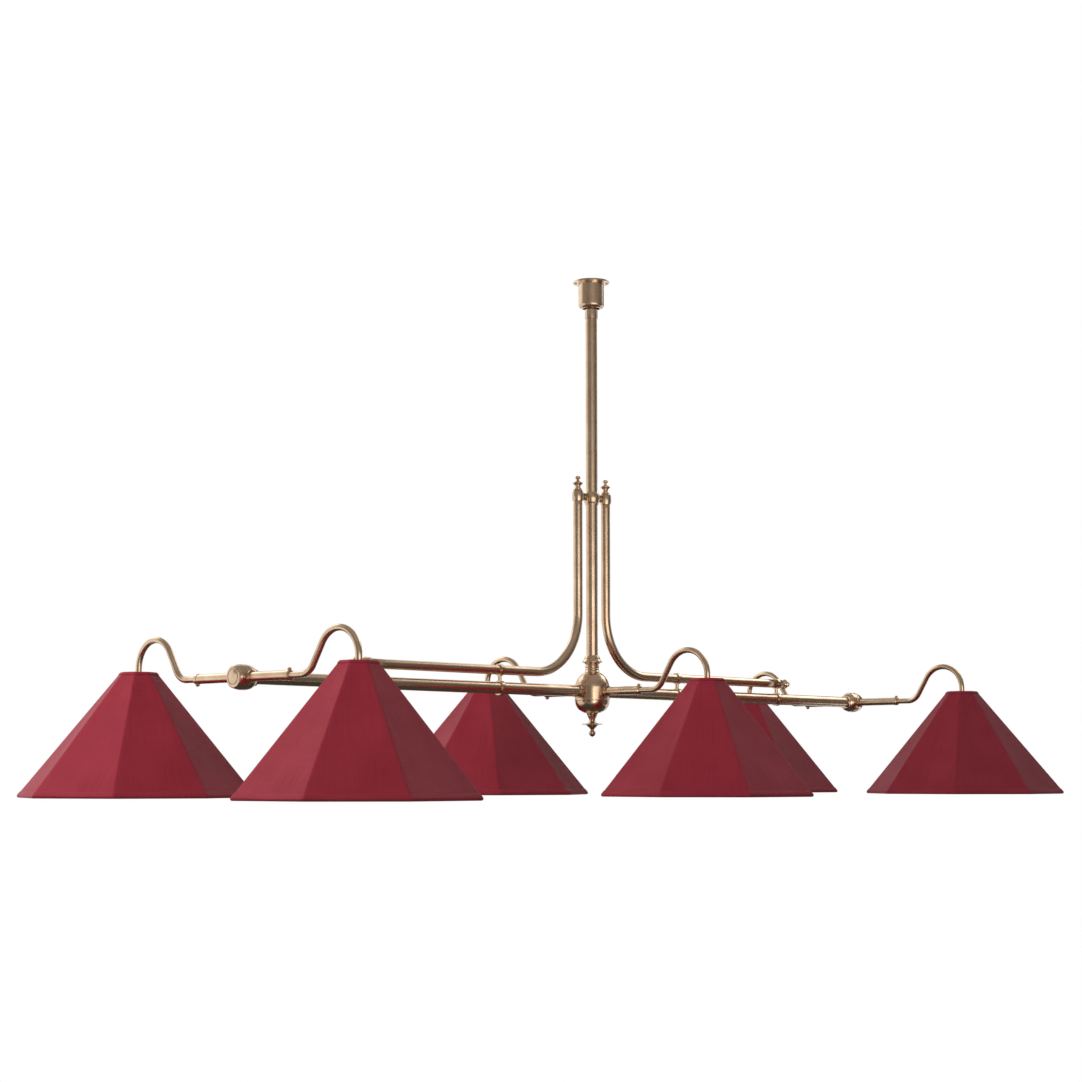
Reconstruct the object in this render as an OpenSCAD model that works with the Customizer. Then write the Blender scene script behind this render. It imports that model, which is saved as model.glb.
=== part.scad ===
// Six-shade pool table lamp: a brass pendant frame with two rows of three octagonal fabric shades.
// Origin: centre of the ceiling plate's top face. X runs along the main rail, Y across, Z up.

/* [Overall] */
// Height from the rail's axis up to the ceiling
rail_drop = 1006; // [700:1:1600]
// Distance from the stem to each end hub, along the rail
hub_x = 1070; // [900:1:1300]
// Distance from the rail to each lamp's own axis, across
lamp_y = 356; // [330:1:450]

/* [Ceiling fixing] */
// Diameter of the ceiling plate
plate_d = 86; // [85:1:100]
// Thickness of the ceiling plate
plate_t = 3; // [2:0.5:6]
// Circle on which the ceiling holes and the cup's screws lie
plate_pcd = 76; // [74:1:78]
// Diameter of the holes for the ceiling screws
ceiling_hole_d = 5.5; // [4:0.5:6]
// Diameter of the wire hole in the plate
wire_hole_d = 14; // [8:1:20]
// Diameter of the cup's thin flange
flange_d = 90; // [86:1:110]
// Thickness of the cup's thin flange
flange_t = 1.5; // [1:0.5:3]
// Outer diameter of the cup
cup_d = 62; // [60:1:64]
// Depth of the cup below the ceiling
cup_h = 68; // [66:1:70]
// Wall of the cup
cup_wall = 2; // [1.5:0.5:3]
// Radius of the cup's rounded lower edge
cup_round = 10; // [8:1:12]
// Head diameter of the screws in the cup's flange
cup_screw_head_d = 6.4; // [6:0.2:8]
// Shank diameter of the screws in the cup's flange
cup_screw_d = 4; // [3:0.5:4]

/* [Ball swivel] */
// Radius of the swivel ball
swivel_r = 14; // [13:0.5:15]
// Thickness of the fibre seat washer
washer_t = 1.9; // [1.5:0.1:2.5]
// Wall of the socket at the ball's equator
socket_wall = 5.5; // [4:0.5:6]
// Depth of the ball's centre below the ceiling
swivel_depth = 44; // [42:1:45]
// Diameter of the shank below the ball
shank_d = 13; // [11:0.5:13]
// Wire way through ball and shank
shank_bore = 7; // [5:0.5:8]

/* [Stem] */
// Outer diameter of the stem and of the main rail
main_d = 28; // [25:0.5:29]
// Wall of every straight tube
tube_wall = 1.5; // [1:0.1:2]
// Wall of the coupler round the stem
coupler_wall = 1.4; // [1.2:0.1:2]
// Length of the coupler
coupler_h = 26; // [22:1:40]
// Closed top of the coupler
coupler_top = 8; // [6:1:10]

/* [Bracing] */
// Outer diameter of the brace tubes
brace_d = 22; // [18:0.5:22]
// Distance of each upright brace from the stem
brace_x = 50; // [46:1:60]
// Bend radius of the brace tubes
brace_bend = 145; // [80:1:180]
// Free height between the rail and the brace above it
link_gap = 16.4; // [10:0.2:30]
// Height of the brace's top end above the rail's axis
brace_top = 485; // [380:1:600]
// Distance of the brace's outer end from the stem
brace_end = 748; // [600:1:850]
// Height of the yoke's middle above the rail's axis
yoke_z = 470; // [300:1:472]
// Height of the yoke's barrel collar
yoke_h = 28; // [22:1:30]
// Wall of the yoke's collar round the stem
yoke_wall = 6; // [4:0.5:8]
// Wall of the sleeves round the braces
sleeve_wall = 3; // [2:0.5:4]
// Thickness of the yoke's webs
web_t = 10; // [8:1:14]
// Distances of the two ties of each brace from the stem
link_x = [318, 728]; // [250:1:740]
// Width of each tie ring
link_w = 10; // [6:1:16]
// Wall of each tie ring
link_wall = 3; // [2:0.5:5]
// Diameter of the short post between the two rings of a tie
link_post_d = 9; // [6:0.5:12]

/* [Centre ball] */
// Radius of the ball
ball_r = 41.5; // [41:0.5:46]
// Height of the dome's centre above the rail's axis
dome_z = 8.5; // [6:0.5:12]
// Height of the dome's wall between the rail and the seam
seam_under = 4.5; // [4:0.5:8]
// Wall of both shells
shell_wall = 2.5; // [2:0.5:3]
// Depth of the bowl's flat bottom below the rail's axis
bowl_z = 51; // [48:1:60]
// Radius of the bowl's flat bottom
bowl_r = 21.5; // [18:0.5:26]
// Wall of the bosses where the main rail enters
rail_boss_wall = 1.9; // [1.6:0.1:2.4]
// Wall of the bosses where the cross arms enter
arm_boss_wall = 2.4; // [1.9:0.1:3.4]
// Room between the inner block and the ball's shells
block_room = 9; // [8:0.5:11]
// Height of the inner block
block_h = 40; // [36:1:42]
// Height of the neck's flat seat on the dome
neck_seat = 46; // [44:0.5:47]
// Width of the neck's ring round the stem
neck_ring_w = 10; // [8:0.5:14]

/* [Arms and goosenecks] */
// Outer diameter of the cross arms
arm_d = 20; // [18:0.5:20]
// Length of a cross arm from the rail's axis to its collar
arm_len = 143; // [110:1:150]
// Outer diameter of the gooseneck tube
neck_d = 14; // [12:0.5:14]
// Wall of the gooseneck tube
neck_wall = 1.2; // [1:0.1:1.5]
// Distance across at which the gooseneck starts to rise
neck_start = 187; // [180:1:190]
// Slope of the gooseneck's straight rise
neck_rise_deg = 58; // [54:1:60]
// Radius of the gooseneck's first bend
neck_bend_1 = 40; // [30:1:44]
// Radius of the gooseneck's top bend
neck_bend_2 = 58.8; // [50:0.2:60]
// Diameter of the arm's collar
collar_d = 22; // [21.5:0.5:25]
// Length of the collar's head
collar_h = 11; // [10:0.5:14]
// Length of the collar's spigot inside the arm
spigot_h = 20; // [12:1:24]
// Diameter of the clamp knob's low head
knob_d = 9.6; // [8:0.2:10.4]
// Height of the clamp knob's head
knob_h = 4.2; // [3.4:0.2:6]
// Diameter of the clamp knob's thread
knob_screw_d = 5; // [4:0.5:5]
// Room between the loosened clamp screw's tip and the gooseneck
knob_tip_gap = 1.2; // [0.8:0.1:1.6]

/* [End hubs] */
// Largest radius of the barrel hub
hub_r = 26.5; // [25:0.5:30]
// Length of the hub's inner half
hub_in = 32; // [28:1:40]
// Length of the hub's outer half
hub_out = 22; // [20:1:28]
// Diameter of the spigot that holds the end cap
cap_spigot_d = 38; // [34:1:40]
// Height of the cap's dome
cap_dome = 5; // [3:0.5:9]

/* [Lampholders and bulbs] */
// Radius of the lampholder's body
holder_r = 17.5; // [17:0.5:19]
// Radius of the lampholder's skirt
skirt_r = 15; // [14.5:0.25:15.5]
// Length of the skirt below the shade carrier
skirt_h = 33; // [28:1:40]
// Radius of the bulb's screw cap
cap_r = 13.2; // [12:0.1:13.2]
// Radius of the bulb's glass
bulb_r = 30; // [22:1:35]
// Height of the bulb's middle below the rail's axis
bulb_z = 92; // [85:1:105]
// Thickness of the bulb's glass
glass_t = 1; // [0.8:0.1:1.5]

/* [Shades] */
// Distance from a shade's axis to its lower corners
shade_r = 260; // [200:1:300]
// Distance from a shade's axis to its upper corners
shade_top_r = 39.5; // [38:0.5:60]
// Height of a shade
shade_h = 268; // [200:1:330]
// Height of the shade's top rim above the rail's axis
shade_top_z = 21; // [18:1:26]
// Thickness of the fabric and its lining
shade_wall = 2; // [1:0.5:3]
// Turn of each shade about its own axis
shade_turns = [21, 3, -16, -8, -2, 5]; // [-22:1:22]
// Thickness of the frame's wire
wire_d = 3; // [2:0.5:4]
// Outer radius of the carrier ring
carrier_r = 24; // [22:1:27]
// Thickness of the carrier ring
carrier_t = 2.4; // [2:0.2:3]

/* [Fits] */
// Radial clearance of pieces that are fixed together
fit_gap = 0.1; // [0.05:0.01:0.2]
// Radial clearance of a shaft that turns in a bore
run_gap = 0.05; // [0.02:0.01:0.1]
// Clearance between surfaces that move past each other
free_gap = 0.3; // [0.2:0.05:0.5]

/* [Hidden] */
$fn = 64;
LAMPS = [1:6];
BRASS = "#be8c64";
DARK_BRASS = "#9a6c46";
STEEL = "#b9bcc0";
BURGUNDY = "#7c2834";
GLASS = "#f4f0e6";
FIBRE = "#5a4030";

// Overrun of a cutter past the face it opens
over = 1;
rail_r = main_d / 2;
arm_r = arm_d / 2;
brace_r = brace_d / 2;
neck_r = neck_d / 2;
plate_circle_r = plate_pcd / 2;
cup_r = cup_d / 2;

// Ball swivel, heights measured down from the ball's centre
seat_r = swivel_r + washer_t + 2 * free_gap;
socket_r = seat_r + socket_wall;
socket_foot = 19;
seat_edge_deg = 43;
mouth_flare = 3;
washer_low_deg = 42;
washer_high_deg = 80;
coupler_z = -(swivel_depth + socket_foot + 4.5);
stem_top_z = coupler_z - coupler_top;

// Centre ball, heights measured from the rail's axis
seam_z = rail_r + seam_under;
rail_boss_r = rail_r + fit_gap + rail_boss_wall;
arm_boss_r = arm_r + fit_gap + arm_boss_wall;
block_r = ball_r - shell_wall - block_room;
neck_ring_r = rail_r + neck_ring_w;
neck_top = neck_seat + 41;
stem_foot = neck_top - 17;
neck_spigot_r = 11;
neck_bore_r = 7;
neck_spigot_depth = 8;
rod_r = 5;
rod_depth = 9;
bead = 0.8;
boss_lip = 1;
boss_lip_w = 4;
rail_boss_x = ball_r + 14.5;
arm_boss_y = ball_r + 10.5;
rail_start = 15;
arm_start = 17;
wire_way_r = 6;

// Braces
brace_z = rail_r + link_gap + brace_r;
bend_z = brace_z + brace_bend;
bend_x = brace_x + brace_bend;
sleeve_r = brace_r + sleeve_wall;
yoke_r = rail_r + yoke_wall;
yoke_ring_h = 4;
yoke_sleeve_h = yoke_h - 5;
yoke_web_h = yoke_h - 11;
finial_plug = 12;

// Goosenecks, on the plane of distance across and height above the rail's axis
neck_in = arm_len - spigot_h - 2;
bend_sin = sin(neck_rise_deg);
bend_cos = cos(neck_rise_deg);
neck_top_y = lamp_y - neck_bend_2;
neck_straight = (neck_top_y - neck_start - (neck_bend_1 + neck_bend_2) * bend_sin) / bend_cos;
neck_rise_z = neck_bend_1 * (1 - bend_cos) + neck_straight * bend_sin;
neck_centre_z = neck_rise_z - neck_bend_2 * bend_cos;
neck_foot_z = 0;
// A tiny brazed bead closes the seam at each end of the straight rise
seam_gap = 0.4;
seam_bead = 0.03;
collar_r = collar_d / 2;
knob_y = arm_len + collar_h / 2;

// End hubs, distances along the rail measured outwards from the hub's middle
hub_rail_end = arm_r + 3;
hub_arm_start = 12;
hub_recess = 8;
hub_boss_y = hub_r + 6.5;

// Lampholders, heights measured from the rail's axis
flange_z = -10;
carrier_top = flange_z - free_gap;
carrier_foot = carrier_top - carrier_t;
nut_top = carrier_foot - free_gap;
nut_h = 5;
nut_r = skirt_r + 4;
holder_top = 15;
holder_wire_r = 4;
skirt_foot = nut_top - nut_h - skirt_h;
holder_bore_r = cap_r + 0.4;
bulb_top = flange_z - 3;
glass_neck_z = skirt_foot - 2;

// Shades
shade_foot_z = shade_top_z - shade_h;
corner_k = cos(22.5);
lean_deg = atan((shade_r - shade_top_r) * corner_k / shade_h);
wall_corner = shade_wall / corner_k / cos(lean_deg);
rib_inset = wall_corner + (wire_d / 2 + free_gap) / sin(67.5) / cos(lean_deg);
wire_edge = 2;

function lamp_x(k) = (floor((k - 1) / 2) - 1) * hub_x;
function lamp_turn(k) = (k % 2 == 1) ? 0 : 180;
function arc_points(cx, cy, r, from, to, n) =
    [for (i = [0:n]) [cx + r * cos(from + (to - from) * i / n), cy + r * sin(from + (to - from) * i / n)]];
function shade_corner(z) = shade_top_r + (shade_r - shade_top_r) * (shade_top_z - z) / shade_h;

// ---------- shared shapes ----------

module at_rail() {
    translate([0, 0, -rail_drop]) children();
}

module at_lamp(k) {
    at_rail() translate([lamp_x(k), 0, 0]) rotate([0, 0, lamp_turn(k)]) children();
}

module both_ends() {
    for (turn = [0, 180]) rotate([0, 0, turn]) children();
}

module along_x(x, r, length) {
    translate([x, 0, 0]) rotate([0, 90, 0]) cylinder(r = r, h = length);
}

module along_y(y, r, length) {
    translate([0, y, 0]) rotate([-90, 0, 0]) cylinder(r = r, h = length);
}

module tube(r, length) {
    difference() {
        cylinder(r = r, h = length);
        translate([0, 0, -over]) cylinder(r = r - tube_wall, h = length + 2 * over);
    }
}

// One quarter or part bend of a rod, in the XZ plane, starting at the origin towards +X and bending up
module bend_up(r, bend_radius, angle) {
    translate([0, 0, bend_radius])
        rotate([90, 0, 0])
            rotate([0, 0, -90])
                rotate_extrude(angle = angle) translate([bend_radius, 0]) circle(r = r);
}

// ---------- ceiling fixing ----------

module plate_holes(r, depth, first_deg) {
    for (i = [0:3])
        rotate([0, 0, first_deg + 90 * i])
            translate([plate_circle_r, 0, -depth]) cylinder(r = r, h = depth + over);
}

module ceiling_plate() color(DARK_BRASS) {
    difference() {
        translate([0, 0, -plate_t]) cylinder(d = plate_d, h = plate_t);
        translate([0, 0, -plate_t - over]) cylinder(d = wire_hole_d, h = plate_t + 2 * over);
        plate_holes(ceiling_hole_d / 2, plate_t + over, 0);
        plate_holes(cup_screw_d / 2 + fit_gap, plate_t + over, 45);
    }
}

module ceiling_cup() color(BRASS) {
    inner_r = cup_r - cup_wall;
    round_x = cup_r - cup_round;
    round_z = -cup_h + cup_round;
    difference() {
        rotate_extrude()
            polygon(concat(
                [[inner_r, -plate_t], [flange_d / 2, -plate_t], [flange_d / 2, -plate_t - flange_t],
                 [cup_r, -plate_t - flange_t]],
                arc_points(round_x, round_z, cup_round, 0, -90, 10),
                arc_points(round_x, round_z, cup_round - cup_wall, -90, 0, 8)));
        plate_holes(ceiling_hole_d / 2, plate_t + flange_t + over, 0);
        plate_holes(cup_screw_d / 2 + fit_gap, plate_t + flange_t + over, 45);
    }
}

module cup_screws() color(BRASS) {
    head_r = cup_screw_head_d / 2;
    for (i = [0:3])
        rotate([0, 0, 45 + 90 * i])
            translate([plate_circle_r, 0, -plate_t - flange_t])
                rotate_extrude()
                    polygon([[0, plate_t + flange_t - 0.5], [cup_screw_d / 2, plate_t + flange_t - 0.5],
                             [cup_screw_d / 2, 0], [head_r, 0], [head_r * 0.97, -0.8], [head_r * 0.8, -1.6],
                             [head_r * 0.45, -2.2], [0, -2.4]]);
}

// ---------- ball swivel ----------

module swivel_socket() color(DARK_BRASS) {
    seat_x = seat_r * sin(seat_edge_deg);
    seat_z = seat_r * cos(seat_edge_deg);
    translate([0, 0, -swivel_depth])
        difference() {
            translate([0, 0, -socket_foot]) cylinder(r = socket_r, h = socket_foot + swivel_depth - plate_t);
            sphere(r = seat_r);
            cylinder(r = seat_r, h = swivel_depth);
            translate([0, 0, -seat_z - over]) cylinder(r = seat_x, h = over + 2);
            translate([0, 0, -socket_foot])
                cylinder(r1 = seat_x + mouth_flare, r2 = seat_x, h = socket_foot - seat_z);
        }
}

module seat_washer() color(FIBRE) {
    inner = swivel_r + free_gap;
    outer = inner + washer_t;
    translate([0, 0, -swivel_depth])
        rotate_extrude()
            polygon(concat(
                arc_points(0, 0, outer, washer_low_deg - 90, washer_high_deg - 90, 10),
                arc_points(0, 0, inner, washer_high_deg - 90, washer_low_deg - 90, 10)));
}

module swivel_ball() color(DARK_BRASS) {
    translate([0, 0, -swivel_depth])
        difference() {
            union() {
                sphere(r = swivel_r);
                translate([0, 0, stem_top_z + swivel_depth])
                    cylinder(d = shank_d, h = -stem_top_z - swivel_depth);
            }
            translate([0, 0, stem_top_z]) cylinder(d = shank_bore, h = -stem_top_z + swivel_r);
        }
}

// ---------- stem ----------

module stem_coupler() color(BRASS) {
    coupler_r = rail_r + fit_gap + coupler_wall;
    edge = 1.2;
    translate([0, 0, coupler_z - coupler_h])
        rotate_extrude()
            polygon([[rail_r + fit_gap, 0], [coupler_r - edge, 0], [coupler_r, edge],
                     [coupler_r, coupler_h - 2 * edge], [coupler_r - 2 * edge, coupler_h],
                     [shank_d / 2 + fit_gap, coupler_h], [shank_d / 2 + fit_gap, coupler_h - coupler_top],
                     [rail_r + fit_gap, coupler_h - coupler_top]]);
}

module stem_tube() color(BRASS) {
    foot = -rail_drop + stem_foot;
    translate([0, 0, foot]) tube(rail_r, stem_top_z - foot);
}

// ---------- bracing ----------

// Barrel on its middle: r at the middle, less by bulge at both ends
module barrel(r, height, bulge) {
    side_r = (bulge * bulge + height * height / 4) / (2 * bulge);
    side_deg = asin(height / 2 / side_r);
    rotate_extrude()
        polygon(concat([[0, -height / 2]], arc_points(r - side_r, 0, side_r, -side_deg, side_deg, 10),
                       [[0, height / 2]]));
}

module yoke_clamp() color(BRASS) {
    bolt_x = (yoke_r + brace_x - sleeve_r) / 2;
    at_rail() translate([0, 0, yoke_z])
        difference() {
            union() {
                barrel(yoke_r, yoke_h, 3.2);
                translate([0, 0, -yoke_h / 2 - yoke_ring_h]) cylinder(r = rail_r + 1.8, h = 2 * yoke_ring_h);
                for (x = [-brace_x, brace_x])
                    translate([x, 0, 0]) barrel(sleeve_r, yoke_sleeve_h, 1);
                translate([-brace_x, -web_t / 2, -yoke_web_h / 2]) cube([2 * brace_x, web_t, yoke_web_h]);
            }
            translate([0, 0, -yoke_h]) cylinder(r = rail_r + fit_gap, h = 2 * yoke_h);
            for (x = [-brace_x, brace_x])
                translate([x, 0, -yoke_h]) cylinder(r = brace_r + fit_gap, h = 2 * yoke_h);
            for (x = [-bolt_x, bolt_x])
                translate([x, 0, 0]) along_y(-web_t, 2 + fit_gap, 2 * web_t);
        }
}

module yoke_screws() color(BRASS) {
    bolt_x = (yoke_r + brace_x - sleeve_r) / 2;
    head_r = 3.2;
    at_rail() translate([0, 0, yoke_z])
        for (x = [-bolt_x, bolt_x])
            translate([x, -web_t / 2, 0]) rotate([-90, 0, 0])
                union() {
                    rotate_extrude()
                        polygon([[0, -2.4], [head_r * 0.5, -2.2], [head_r * 0.85, -1.4], [head_r, -0.6],
                                 [head_r, 0], [2, 0], [2, web_t + 2.5], [0, web_t + 2.5]]);
                    translate([0, 0, web_t]) cylinder(r = 3.4, h = 2, $fn = 6);
                }
}

// Solid rod along the brace's axis: outer end, straight run, bend and upright
module brace_rod(r, extra) {
    translate([bend_x, 0, brace_z]) rotate([0, 90, 0]) cylinder(r = r, h = brace_end - bend_x + extra);
    translate([bend_x, 0, brace_z]) mirror([1, 0, 0]) bend_up(r, brace_bend, 90);
    translate([brace_x, 0, bend_z]) cylinder(r = r, h = brace_top - bend_z + extra);
}

module brace() color(BRASS) {
    difference() {
        brace_rod(brace_r, 0);
        brace_rod(brace_r - tube_wall, over);
    }
}

module brace_right() {
    at_rail() brace();
}

module brace_left() {
    at_rail() mirror([1, 0, 0]) brace();
}

// Turned finial standing on a tube's end: neck, lens-shaped bead and flattened knob, with a plug in the bore
module tube_finial() {
    plug_r = brace_r - tube_wall - fit_gap;
    bead_r = brace_r + 1.5;
    bead_z = 16.5;
    top_r = 7;
    top_h = 4.4;
    top_z = 30;
    rotate_extrude()
        polygon(concat(
            [[0, -finial_plug], [plug_r, -finial_plug], [plug_r, 0], [brace_r, 0], [brace_r - 0.5, 1.8],
             [brace_r - 2.8, 4], [6.9, 5.6], [6.4, 8], [6.6, 10.4], [8.4, 12.2], [bead_r - 1.4, bead_z - 2.4],
             [bead_r, bead_z - 0.6], [bead_r, bead_z + 0.4], [bead_r - 1.2, bead_z + 1.6],
             [8.4, bead_z + 3.4], [5, bead_z + 5], [3.6, bead_z + 6.8], [3.4, top_z - 5]],
            [for (a = [-60:15:75]) [top_r * cos(a), top_z + top_h * sin(a)]],
            [[0, top_z + top_h]]));
}

module brace_finials() color(DARK_BRASS) {
    at_rail() both_ends() {
        translate([brace_x, 0, brace_top]) tube_finial();
        translate([brace_end, 0, brace_z]) rotate([0, 90, 0]) tube_finial();
    }
}

module rail_link() {
    difference() {
        union() {
            along_x(-link_w / 2, rail_r + link_wall, link_w);
            translate([0, 0, brace_z]) along_x(-link_w / 2, brace_r + link_wall, link_w);
            translate([0, 0, rail_r]) cylinder(d = link_post_d, h = brace_z - rail_r);
        }
        along_x(-link_w, rail_r + fit_gap, 2 * link_w);
        translate([0, 0, brace_z]) along_x(-link_w, brace_r + fit_gap, 2 * link_w);
    }
}

module rail_links() color(BRASS) {
    at_rail() both_ends()
        for (x = link_x) translate([x, 0, 0]) rail_link();
}

// ---------- centre ball ----------

module ball_neck() color(BRASS) {
    ring = neck_seat + 27;
    foot = block_h / 2 - neck_spigot_depth;
    socket = rail_r + fit_gap;
    at_rail() rotate_extrude()
        polygon(concat(
            [[neck_bore_r, foot], [neck_spigot_r, foot], [neck_spigot_r, neck_seat], [18, neck_seat],
             [18.4, neck_seat + 1.5], [17, neck_seat + 3.5]],
            arc_points(14.6, neck_seat + 7.5, 2.6, -60, 60, 5),
            arc_points(14.2, neck_seat + 14, 3, -55, 55, 5),
            [[15.2, ring - 8], [17, ring - 6.5], [neck_ring_r - 3, ring - 4]],
            arc_points(neck_ring_r - 2, ring - 1.5, 2, -60, 75, 5),
            [[neck_ring_r - 4, ring + 4], [rail_r + 4.8, ring + 8], [rail_r + 3.4, ring + 11],
             [rail_r + 2.6, neck_top - 1.4], [rail_r + 1.8, neck_top], [socket, neck_top],
             [socket, stem_foot], [neck_bore_r, stem_foot]]));
}

module ball_upper_shell() color(BRASS) {
    inner_r = ball_r - shell_wall;
    at_rail() difference() {
        union() {
            intersection() {
                union() {
                    translate([0, 0, dome_z]) sphere(r = ball_r);
                    translate([0, 0, -seam_z]) cylinder(r = ball_r, h = seam_z + dome_z);
                }
                translate([-ball_r - over, -ball_r - over, -seam_z])
                    cube([2 * (ball_r + over), 2 * (ball_r + over), seam_z + neck_seat]);
            }
            both_ends() {
                along_x(block_r, rail_boss_r, rail_boss_x - block_r);
                along_x(rail_boss_x - boss_lip_w, rail_boss_r + boss_lip, boss_lip_w - 1);
                along_y(block_r, arm_boss_r, arm_boss_y - block_r);
                along_y(arm_boss_y - boss_lip_w, arm_boss_r + boss_lip, boss_lip_w - 1);
            }
        }
        translate([0, 0, dome_z]) sphere(r = inner_r);
        translate([0, 0, -seam_z - over]) cylinder(r = inner_r, h = seam_z + dome_z + over);
        along_x(-rail_boss_x - over, rail_r + fit_gap, 2 * (rail_boss_x + over));
        along_y(-arm_boss_y - over, arm_r + fit_gap, 2 * (arm_boss_y + over));
        cylinder(r = neck_spigot_r + fit_gap, h = ball_r + dome_z + over);
    }
}

module ball_lower_shell() color(BRASS) {
    lip = 3;
    rim = 3.2;
    inner_r = ball_r - shell_wall - fit_gap;
    side_w = ball_r - bowl_r;
    side_h = bowl_z - 1 - seam_z - rim;
    side_r = (side_w * side_w + side_h * side_h) / (2 * side_w);
    side_deg = atan2(side_h, side_r - side_w);
    at_rail() rotate_extrude()
        polygon(concat(
            [[inner_r, -seam_z + lip], [inner_r, -seam_z], [ball_r + bead, -seam_z],
             [ball_r + bead, -seam_z - 2.4]],
            arc_points(ball_r - side_r, -seam_z - rim, side_r, 0, -side_deg, 10),
            [[bowl_r - 1.5, -bowl_z], [rod_r + fit_gap, -bowl_z], [rod_r + fit_gap, -bowl_z + shell_wall],
             [bowl_r - shell_wall, -bowl_z + shell_wall]],
            arc_points(ball_r - side_r, -seam_z - rim, side_r - shell_wall, -side_deg, 0, 10),
            [[inner_r - 2, -seam_z - lip], [inner_r - 2, -seam_z + lip]]));
}

module junction_block() color(DARK_BRASS) {
    at_rail() difference() {
        translate([0, 0, -block_h / 2]) cylinder(r = block_r, h = block_h);
        both_ends() {
            along_x(rail_start, rail_r + fit_gap, block_r);
            along_y(arm_start, arm_r + fit_gap, block_r);
        }
        along_x(-block_r, wire_way_r, 2 * block_r);
        along_y(-block_r, wire_way_r, 2 * block_r);
        cylinder(r = wire_way_r, h = block_h);
        translate([0, 0, block_h / 2 - neck_spigot_depth])
            cylinder(r = neck_spigot_r + fit_gap, h = neck_spigot_depth + over);
        translate([0, 0, -block_h / 2 - over]) cylinder(r = rod_r + fit_gap, h = rod_depth + over);
    }
}

module bottom_finial() color(DARK_BRASS) {
    rod_top = -block_h / 2 + rod_depth;
    disc_r = 25;
    drop_r = 8;
    drop_z = -bowl_z - 48.5;
    at_rail() rotate_extrude()
        polygon(concat(
            [[0, rod_top], [rod_r, rod_top], [rod_r, -bowl_z], [14, -bowl_z], [14.2, -bowl_z - 1.6],
             [12.2, -bowl_z - 4], [11.4, -bowl_z - 7.5], [8.4, -bowl_z - 13], [7, -bowl_z - 17],
             [7.2, -bowl_z - 20], [9.6, -bowl_z - 23.5], [15, -bowl_z - 25.6], [disc_r - 0.5, -bowl_z - 26],
             [disc_r, -bowl_z - 26.8], [disc_r - 0.6, -bowl_z - 27.8], [16, -bowl_z - 29.2],
             [11.4, -bowl_z - 32], [7, -bowl_z - 36], [3.8, -bowl_z - 40]],
            arc_points(0, drop_z, drop_r, 55, -52, 10),
            [[2.6, drop_z - 7.9], [0, drop_z - 9]]));
}

// ---------- rails, hubs and arms ----------

module rails() color(BRASS) {
    at_rail() both_ends()
        translate([rail_start, 0, 0]) rotate([0, 90, 0])
            tube(rail_r, hub_x - hub_rail_end - rail_start);
}

// Barrel hub on the rail's end: turned body, two arm bosses, bored for rail, arms and cap
module end_hub() {
    recess_r = cap_spigot_d / 2 + fit_gap;
    collar = main_d / 2 + 4;
    difference() {
        union() {
            rotate([0, 90, 0]) rotate_extrude()
                polygon([[0, -hub_in], [collar - 1, -hub_in], [collar, -hub_in + 1],
                         [collar, -hub_in + 4], [collar - 0.8, -hub_in + 5], [collar + 2, -hub_in + 7.5],
                         [hub_r - 3.4, -hub_in + 12], [hub_r - 1, -14], [hub_r, -7], [hub_r, -1.4],
                         [hub_r - 0.9, -0.8], [hub_r - 0.9, 0.6], [hub_r, 1.2], [hub_r, 6], [hub_r - 0.8, 12],
                         [hub_r - 2.2, hub_out - 3], [hub_r - 3.6, hub_out], [0, hub_out]]);
            both_ends() {
                along_y(0, arm_r + 2.6, hub_boss_y);
                along_y(hub_boss_y - 4, arm_r + 3.4, 3);
            }
        }
        along_x(-hub_in - over, rail_r + fit_gap, hub_in - hub_rail_end + over);
        both_ends() along_y(hub_arm_start, arm_r + fit_gap, hub_boss_y);
        along_x(-hub_in, wire_way_r, hub_in + hub_out);
        along_y(-hub_r, wire_way_r, 2 * hub_r);
        along_x(hub_out - hub_recess, recess_r, hub_recess + over);
    }
}

module end_hubs() color(BRASS) {
    at_rail() both_ends() translate([hub_x, 0, 0]) end_hub();
}

module end_caps() color(BRASS) {
    edge_r = hub_r - 3.2;
    at_rail() both_ends()
        translate([hub_x + hub_out, 0, 0]) rotate([0, 90, 0]) rotate_extrude()
            polygon([[0, -hub_recess], [cap_spigot_d / 2, -hub_recess], [cap_spigot_d / 2, 0],
                     [edge_r, 0], [edge_r, cap_dome * 0.2], [edge_r - 1.4, cap_dome * 0.45],
                     [edge_r * 0.72, cap_dome * 0.7], [edge_r * 0.68, cap_dome * 0.52],
                     [edge_r * 0.64, cap_dome * 0.72], [edge_r * 0.4, cap_dome * 0.9],
                     [edge_r * 0.2, cap_dome * 0.98], [0, cap_dome]]);
}

module arm_tubes() color(BRASS) {
    at_rail() both_ends() {
        translate([0, arm_start, 0]) rotate([-90, 0, 0]) tube(arm_r, arm_len - arm_start);
        for (x = [-hub_x, hub_x])
            translate([x, hub_arm_start, 0]) rotate([-90, 0, 0]) tube(arm_r, arm_len - hub_arm_start);
    }
}

// The clamp screws stand on top of the near row's arms and hang below the far row's
module clamp_side(k) {
    mirror([0, 0, k % 2]) children();
}

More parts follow.
